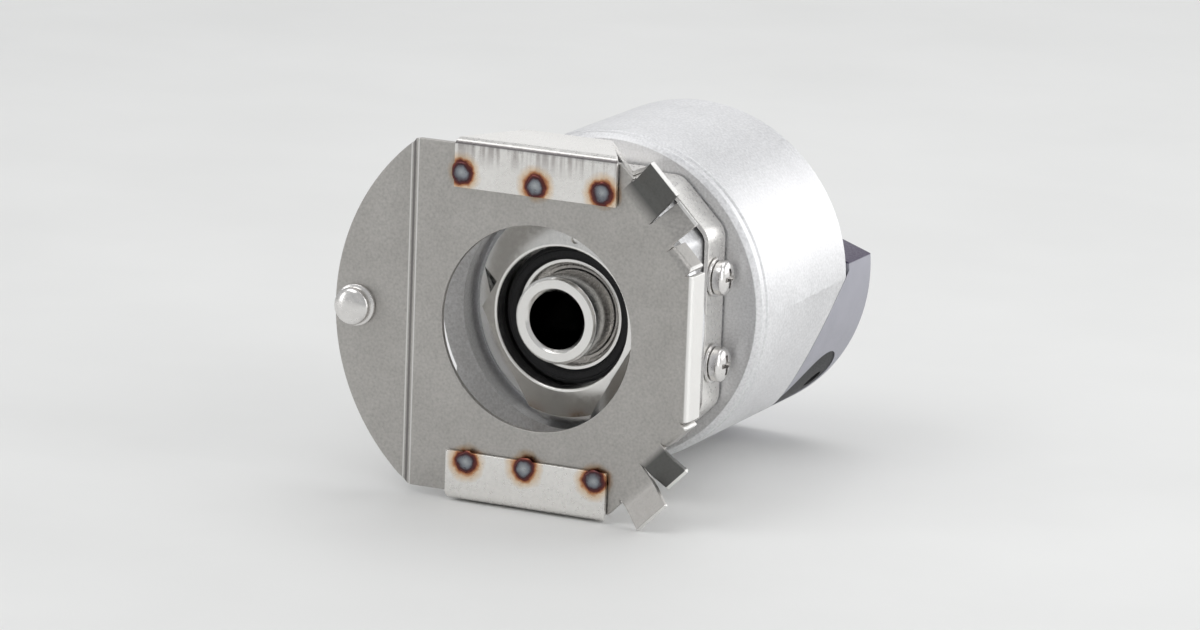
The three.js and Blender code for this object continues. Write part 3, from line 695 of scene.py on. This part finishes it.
def bracket_path():
    """The middle line of the upper bracket as (y, z): face, bend, tongue, slope and foot."""
    y = limits("top_bracket")[0].y + THIN / 2
    z = BRACKET_TOP - THIN / 2
    radius = 1.1
    foot = limits("spring_hoop")[1].z + FIT + THIN / 2
    corner = bend_arc((y + radius, z - radius), radius, 180, 90)
    return [(y, BRACKET_BOTTOM), (y, BRACKET_BOTTOM + 4), *corner, (0, z), (TAPER_END - 0.6, z),
            (TAPER_END + 0.2, z - 0.15), (TAPER_END + 1, z - 0.75), (FOOT_START - 0.8, foot + 0.6),
            (FOOT_START, foot + 0.12), (FOOT_START + 0.8, foot), (limits("top_bracket")[1].y, foot)]


def bracket_width(y):
    """Half the tongue's width where it is at y."""
    start = limits("top_bracket")[0].y
    share = min(max((y - start) / (TAPER_END - start), 0), 1)
    return BRACKET_HALF + (TONGUE_HALF - BRACKET_HALF) * share


def bracket(name, side):
    bm = bmesh.new()
    columns = [-1 + 2 * i / 8 for i in range(9)]
    rows = []
    for y, z in bracket_path():
        half = bracket_width(y)
        rows.append([bm.verts.new((BRACKET_X + half * c, y, side * z)) for c in columns])
    for one, other in zip(rows, rows[1:]):
        for i in range(len(columns) - 1):
            bm.faces.new((one[i], one[i + 1], other[i + 1], other[i]))
    obj = to_object(name, bm)
    thicken(obj, THIN)
    return soften(obj, 0.1, segments=2, angle=50)


def spring_hoop():
    low, high = limits("spring_hoop")
    outer = eased(octagon(high.x, high.z, HOOP_CORNER), 1.6, 5)
    inner = eased(octagon(high.x - THIN, high.z - THIN, HOOP_CORNER - THIN), 1.2, 5)
    obj = prism("spring_hoop_band", outer, low.y, high.y, along_y)
    combine(obj, prism("tool", inner, low.y - 2, high.y + 2, along_y))
    for end in (-1, 1):
        hole = turned(rod("tool", SCREW_HOLE_R, -40, 40, 32), (0, 0, 1), 90)
        combine(obj, moved(hole, y=SCREW_Y, z=end * SCREW_Z))
    return soften(obj, 0.1, segments=2)


def dome(radius, height, tip, steps=8):
    """The (radius, y) points of a domed end."""
    return [(radius * math.sin(a), tip + height * (1 - math.cos(a)))
            for a in [math.pi / 2 * i / steps for i in range(steps + 1)]]


def torque_pin():
    low, high = limits("torque_pin")
    r, stem, collar, rivet = 3.2, 2.4, 3.6, 3.9
    collar_y = low.y + 3.0
    profile = [*dome(r, 1.0, low.y), (r, collar_y - 0.9), (r - 0.12, collar_y - 0.8),
               (collar, collar_y - 0.7), (collar, collar_y), (stem, collar_y), (stem, high.y - 0.9),
               (rivet, high.y - 0.9), (rivet - 0.5, high.y), (0, high.y)]
    obj = lathe("torque_pin_stud", profile, steps=64)
    return soften(moved(obj, x=PIN_X), 0.08, segments=2)


def weld(index, x, z):
    """A spot weld: a shallow dished nugget with a raised, slightly uneven rim."""
    face = limits("top_bracket")[0].y
    profile = [(0, face - 0.02), (WELD_R * 0.35, face - 0.05), (WELD_R * 0.62, face - 0.12),
               (WELD_R * 0.85, face - 0.2), (WELD_R, face - 0.1), (WELD_R * 1.08, face + 0.05),
               (0, face + 0.05)]
    obj = lathe(f"spot_weld_{index}", profile, steps=40)
    for vertex in obj.data.vertices:
        angle = math.atan2(vertex.co.z, vertex.co.x)
        uneven = 0.05 * math.sin(3 * angle + index) + 0.03 * math.sin(5 * angle + 2 * index)
        vertex.co.x *= 1 + uneven
        vertex.co.z *= 1 + uneven
    return soften(moved(obj, x=x, z=z), 0)


# ---------------------------------------------------------------- screws
def pan_screw(name, head, head_h, shank, length):
    """A pan-head screw along Y with a cross recess: its head faces -Y and sits on y = 0."""
    profile = [*dome(head, head_h * 0.45, -head_h), (head, -0.15), (head - 0.12, 0), (shank, 0),
               (shank, length - 0.5), (shank - 0.5, length), (0, length)]
    obj = lathe(name, profile, steps=48)
    for size in ((CROSS_REACH, CROSS_HALF), (CROSS_HALF, CROSS_REACH)):
        low = (-size[0], -head_h - 2, -size[1])
        high = (size[0], CROSS_DEEP - head_h, size[1])
        combine(obj, box("tool", low, high))
    return soften(obj, 0.06, segments=2)


def hoop_fasteners():
    washer_face = limits("hoop_washer_1")[1].x
    seat = limits("spring_hoop")[1].x + FIT
    pieces = [(side, end) for side in (1, -1) for end in (1, -1)]
    for i, (side, end) in enumerate(pieces, 1):
        thick = washer_face - seat
        profile = [(SCREW_HOLE_R, 0), (WASHER_R, 0), (WASHER_R, thick), (SCREW_HOLE_R, thick)]
        washer = turned(lathe(f"hoop_washer_{i}_ring", profile, 0.12, 64), (0, 0, 1), 90 * side)
        moved(washer, side * washer_face, SCREW_Y, end * SCREW_Z)
        stands_for(soften(washer, 0), f"hoop_washer_{i}")
        screw = turned(pan_screw(f"hoop_screw_{i}_pan", *PAN, 7), (0, 0, 1), 90 * side)
        moved(screw, side * (washer_face + FIT), SCREW_Y, end * SCREW_Z)
        stands_for(screw, f"hoop_screw_{i}")


# ---------------------------------------------------------------- flange, nut, seal and shaft
def front_flange():
    """An octagonal neck with a round lip and recess, a rim, the housing's spigot and the bearings' tube."""
    low, high = limits("front_flange")
    rim_r, front, back = high.x, 20.4, 22.6
    spigot, groove, inside, tube_r, stop = 27.1, 25.3, 24.7, 14.6, 11.2
    profile = [(SEAT_R, 11.6), (17, 11.6), (17, front), (rim_r - 0.9, front), (rim_r, front + 0.9),
               (rim_r, back), (spigot, back), (spigot, 24.9), (groove, 24.9), (groove, 27.1),
               (spigot, 27.1), (spigot, 29.8), (inside, 29.8), (inside, 25), (tube_r, 25),
               (tube_r, high.y), (stop, high.y), (stop, high.y - 1.4), (SEAT_R, high.y - 1.4)]
    obj = lathe("front_flange_body", profile, 0.12)
    neck = prism("tool", eased(octagon(20.9, 20.9, 24.8), 0.8, 4), low.y, front + 0.5, along_y)
    combine(neck, rod("tool", LIP_R, low.y, LIP_BACK, ROUND), "UNION")
    combine(neck, lathe("tool", [(0, low.y - 2), (20, low.y - 2), (20, 11), (0, 11)]))
    combine(neck, lathe("tool", [(0, low.y - 2), (SEAT_R, low.y - 2), (SEAT_R, front + 4), (0, front + 4)]))
    combine(obj, neck, "UNION")
    for side in (1, -1):
        for end in (1, -1):
            tap = turned(rod("tool", SCREW_HOLE_R, 0, 9, 24), (0, 0, 1), 90 * side)
            combine(obj, moved(tap, side * 21.9, SCREW_Y, end * SCREW_Z))
    return soften(obj, 0.12, segments=2)


def seal_nut():
    """Round nut with four spanner flats, a bore for the seal and a stem that holds the front bearing."""
    low, high = limits("seal_nut")
    front, r, back, flat, flat_back = low.y, 19, 10.8, 13.1, 9.8
    stem, stem_bore, seal_bore, shaft_hole = 11.8, 10.6, 12.2, 8.3
    profile = [(seal_bore, front + 0.2), (12.4, front), (12.7, front), (17.2, front + 0.65),
               (r, front + 3.4), (r, back), (stem, back), (stem, high.y), (stem_bore, high.y),
               (stem_bore, back), (shaft_hole, back), (shaft_hole, 9.8), (seal_bore, 9.8)]
    obj = lathe("seal_nut_body", profile, 0.05)
    for angle in (30, 150, 210, 330):
        tool = box("tool", (flat, front - 3, -24), (flat + 14, flat_back, 24))
        combine(obj, turned(tool, (0, 1, 0), angle))
    combine(obj, moved(rod("tool", 0.8, front - 2, front + 0.7, 24), x=2, z=13.9))
    return soften(obj, 0.16, segments=3, angle=20)


def shaft_seal():
    low, high = limits("shaft_seal")
    inner, outer = 9.65, high.x
    profile = [(inner, low.y + 0.35), (inner + 0.35, low.y), (outer - 0.9, low.y),
               (outer - 0.75, low.y + 0.25), (outer - 0.55, low.y + 0.1), (outer, low.y + 0.6),
               (outer, high.y), (inner, high.y)]
    return soften(lathe("shaft_seal_ring", profile, 0.1), 0)


def seal_shield():
    """The thin metal shield inside the seal, which closes the gap round the shaft and just clears it."""
    y = limits("shaft_seal")[0].y
    profile = [(7.62, y + 2.3), (8.2, y + 1.9), (8.7, y + 0.9), (8.7, y + 2.6), (7.62, y + 2.6)]
    return soften(lathe("seal_shield_ring", profile, 0.1), 0)


def seal_sleeve():
    low, high = limits("seal_sleeve")
    profile = [(8.75, low.y + 0.15), (9.0, low.y), (high.x, low.y), (high.x, high.y), (8.75, high.y)]
    return soften(lathe("seal_sleeve_ring", profile, 0.08), 0)


def hollow_shaft():
    low, high = limits("hollow_shaft")
    r, mouth, bore_end, clip = high.x, 5.6, 30, 35
    profile = [(mouth, low.y), (r - 0.45, low.y), (r, low.y + 0.45), (r, clip - 0.1), (r - 0.5, clip - 0.1),
               (r - 0.5, clip + 0.9), (r, clip + 0.9), (r, high.y), (0, high.y), (0, bore_end),
               (BORE_R, bore_end - 1.5), (BORE_R, low.y + mouth - BORE_R)]
    return soften(lathe("hollow_shaft_tube", profile, 0.06), 0)


# ---------------------------------------------------------------- housing and rear cap
def housing():
    """A cup whose rear has the wires' opening and the screw holes, with a notch for the cap's skirt."""
    low, high = limits("housing")
    r, wall, rear = high.x, HOUSING_WALL, 1.8
    profile = [(r - wall, low.y), (r - 0.5, low.y), (r, low.y + 0.5), (r, high.y - 0.7), (r - 0.7, high.y),
               (0, high.y), (0, high.y - rear), (r - wall, high.y - rear)]
    obj = lathe("housing_shell", profile, 0.1, 192)
    combine(obj, box("tool", (-12, high.y - 4, -18), (12, high.y + 2, -6)))
    cut_cap_holes(obj, SCREW_HOLE_R, high.y - 4, high.y + 2)
    notch = skirt_wedge(0)
    combine(notch, tube(r - wall, r + 4, SKIRT_Y - 4, high.y + 4), "INTERSECT")
    combine(obj, notch)
    return soften(obj, 0)


def cut_cap_holes(obj, radius, y0, y1):
    for x, z in CAP_SCREWS:
        combine(obj, moved(rod("tool", radius, y0, y1, 32), x=x, z=z))


def cap_outline(inset):
    """A round bottom and a low roof-shaped top."""
    r = limits("rear_cap")[1].x - inset
    start = math.asin((SHOULDER_Z - inset) / r)
    roof_x, roof_z = ROOF_HALF * r / HOUSING_R, limits("rear_cap")[1].z - inset
    return arc(r, -math.pi - start, start, 96) + [(roof_x, roof_z), (-roof_x, roof_z)]


def towards(obj, degrees):
    """Turns a piece that points along +Z to point that far below +X."""
    return turned(obj, (0, 1, 0), 90 + degrees)


def skirt_wedge(offset):
    """What is behind the sloping plane where the cap reaches over the housing's lower right edge."""
    out, end = 34, 63.4
    start = SKIRT_Y + (HOUSING_R - out) * SKIRT_SLOPE + offset
    inner = HOUSING_R - (end - offset - SKIRT_Y) / SKIRT_SLOPE
    return towards(prism("wedge", [(start, out), (end, inner), (end, out)], -60, 60, along_x), SKIRT_ANGLE)


def before_cap():
    """What lies in front of the cap: all that is before its front face, but not the skirt."""
    tool = box("tool", (-50, 30, -50), (50, CAP_FRONT, 50))
    return combine(tool, skirt_wedge(0.15))


def radial_rod(r, y):
    """A round bar pointing out of the shaft axis, along the grommet."""
    bar = moved(turned(rod("tool", r, 0, 60, 64), (1, 0, 0), 90), y=y)
    return towards(bar, GROMMET_ANGLE)


def rear_cap():
    low, high = limits("rear_cap")
    obj = prism("rear_cap_shell", cap_outline(0), low.y - 1, high.y, along_y)
    combine(obj, prism("tool", cap_outline(1.5), low.y - 2, high.y - CAP_WALL, along_y))
    combine(obj, before_cap())
    for x, z in CAP_SCREWS:
        seat = moved(rod("tool", 4.6, CAP_FRONT, high.y - 0.2, 48), x=x, z=z)
        combine(seat, prism("trim", cap_outline(0.1), low.y - 1, high.y + 1, along_y), "INTERSECT")
        combine(obj, seat, "UNION")
    cut_cap_holes(obj, SCREW_HOLE_R, low.y - 2, high.y + 2)
    cut_cap_holes(obj, 3.3, high.y - HEAD_SUNK, high.y + 2)
    combine(obj, radial_rod(GROMMET_R + FIT, GROMMET_Y))
    return soften(obj, 0.25, segments=3)


def tube(r0, r1, y0, y1):
    return lathe("tool", [(r0, y0), (r1, y0), (r1, y1), (r0, y1)], steps=192)


def cable_grommet():
    """A round black grommet in the cap's side, with a flange inside that holds it."""
    back = limits("cable_grommet")[1].y
    obj = radial_rod(GROMMET_R, GROMMET_Y)
    obj.name = "cable_grommet_body"
    combine(obj, tube(27.5, 28.85, SKIRT_Y, back), "INTERSECT")
    combine(obj, before_cap())
    flange = radial_rod(8.8, GROMMET_Y)
    combine(flange, tube(25.6, 27.6, CAP_FRONT + 0.3, back), "INTERSECT")
    combine(obj, flange, "UNION")
    combine(obj, radial_rod(CABLE_R, CABLE_Y))
    return soften(obj, 0.2, segments=3)


def cap_screws():
    seat = limits("rear_cap")[1].y - HEAD_SUNK + FIT
    for i, (x, z) in enumerate(CAP_SCREWS, 1):
        screw = turned(pan_screw(f"cap_screw_{i}_pan", *PAN, 11), (1, 0, 0), 180)
        stands_for(moved(screw, x, seat, z), f"cap_screw_{i}")


# ---------------------------------------------------------------- assembly
def build():
    stands_for(coupling_plate(), "coupling_plate")
    stands_for(bracket("top_bracket_sheet", 1), "top_bracket")
    stands_for(bracket("bottom_bracket_sheet", -1), "bottom_bracket")
    stands_for(spring_hoop(), "spring_hoop")
    stands_for(torque_pin(), "torque_pin")
    hoop_fasteners()
    stands_for(front_flange(), "front_flange")
    stands_for(seal_nut(), "seal_nut")
    stands_for(shaft_seal(), "shaft_seal")
    shield = seal_shield()
    shield.data.materials.append(MATERIALS["bright_steel"])
    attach(shield, "stator")
    stands_for(seal_sleeve(), "seal_sleeve")
    stands_for(hollow_shaft(), "hollow_shaft")
    stands_for(housing(), "housing")
    stands_for(rear_cap(), "rear_cap")
    stands_for(cable_grommet(), "cable_grommet")
    cap_screws()
    for i, (x, z) in enumerate(WELDS, 1):
        nugget = weld(i, x, z)
        nugget.data.materials.append(MATERIALS["bracket_sheet"])
        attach(nugget, "stator")
    for node, obj in frame["nodes"].items():
        if not obj.hide_render:
            obj.data.materials.clear()
            obj.data.materials.append(MATERIALS[SLOTS[node]])


# ---------------------------------------------------------------- camera, floor and light
def add_camera():
    azimuth, elevation, roll = math.radians(24.92), math.radians(12.87), math.radians(2.09)
    aim = Vector((0, 17.96, -2.38)) * MM
    distance = 1026.5 * MM
    back = Vector((math.sin(azimuth) * math.cos(elevation), -math.cos(azimuth) * math.cos(elevation),
                   math.sin(elevation)))
    data = bpy.data.cameras.new("camera")
    data.lens = 180
    data.sensor_width = 36
    data.clip_start = 0.05
    data.clip_end = 50
    camera = bpy.data.objects.new("camera", data)
    bpy.context.scene.collection.objects.link(camera)
    camera.location = aim + back * distance
    camera.rotation_mode = "QUATERNION"
    camera.rotation_quaternion = (-back).to_track_quat("-Z", "Y") @ Quaternion((0, 0, 1), roll)
    bpy.context.scene.camera = camera


def add_floor():
    level = CAD_BOX[0].z / MM - 0.05
    bm = bmesh.new()
    bmesh.ops.create_circle(bm, cap_ends=True, segments=96, radius=8000)
    bmesh.ops.translate(bm, verts=bm.verts, vec=(0, 0, level))
    floor = to_object("floor", bm)
    s = Shader("floor_paint", (0.80, 0.80, 0.79), 0.0, 0.6)
    s.link(s.ramp(s.noise(0.02), [(0.3, (0.79, 0.79, 0.78)), (0.7, (0.82, 0.82, 0.81))]),
           s.surface.inputs["Base Color"])
    floor.data.materials.append(s.material)


def add_light(name, place, size, watts, aim=(0, 0.02, 0)):
    data = bpy.data.lights.new(name, "AREA")
    data.shape = "RECTANGLE"
    data.size, data.size_y = size
    data.energy = watts
    light = bpy.data.objects.new(name, data)
    bpy.context.scene.collection.objects.link(light)
    light.location = place
    light.rotation_mode = "QUATERNION"
    light.rotation_quaternion = (Vector(aim) - Vector(place)).to_track_quat("-Z", "Y")


def add_lights():
    add_light("key", (-0.35, -0.45, 0.75), (0.6, 0.5), 1.8)
    add_light("right_panel", (0.75, 0.0, 0.25), (0.25, 0.8), 2.0)
    add_light("back_panel", (0.6, 1.0, 0.25), (1.4, 0.5), 3.2)
    add_light("rear_left_panel", (-0.5, 1.0, 0.42), (0.9, 0.5), 0.7)
    add_light("top_panel", (0.1, 0.25, 0.7), (0.7, 0.4), 1.3)
    add_light("left_strip", (-0.6, -0.5, 0.05), (0.12, 0.5), 0.5)
    world = bpy.data.worlds.new("studio")
    bpy.context.scene.world = world
    world.use_nodes = True
    background = world.node_tree.nodes["Background"]
    background.inputs["Color"].default_value = (0.88, 0.89, 0.90, 1)
    background.inputs["Strength"].default_value = 0.6


build()
add_camera()
add_floor()
add_lights()
bpy.context.scene.view_settings.view_transform = "Standard"
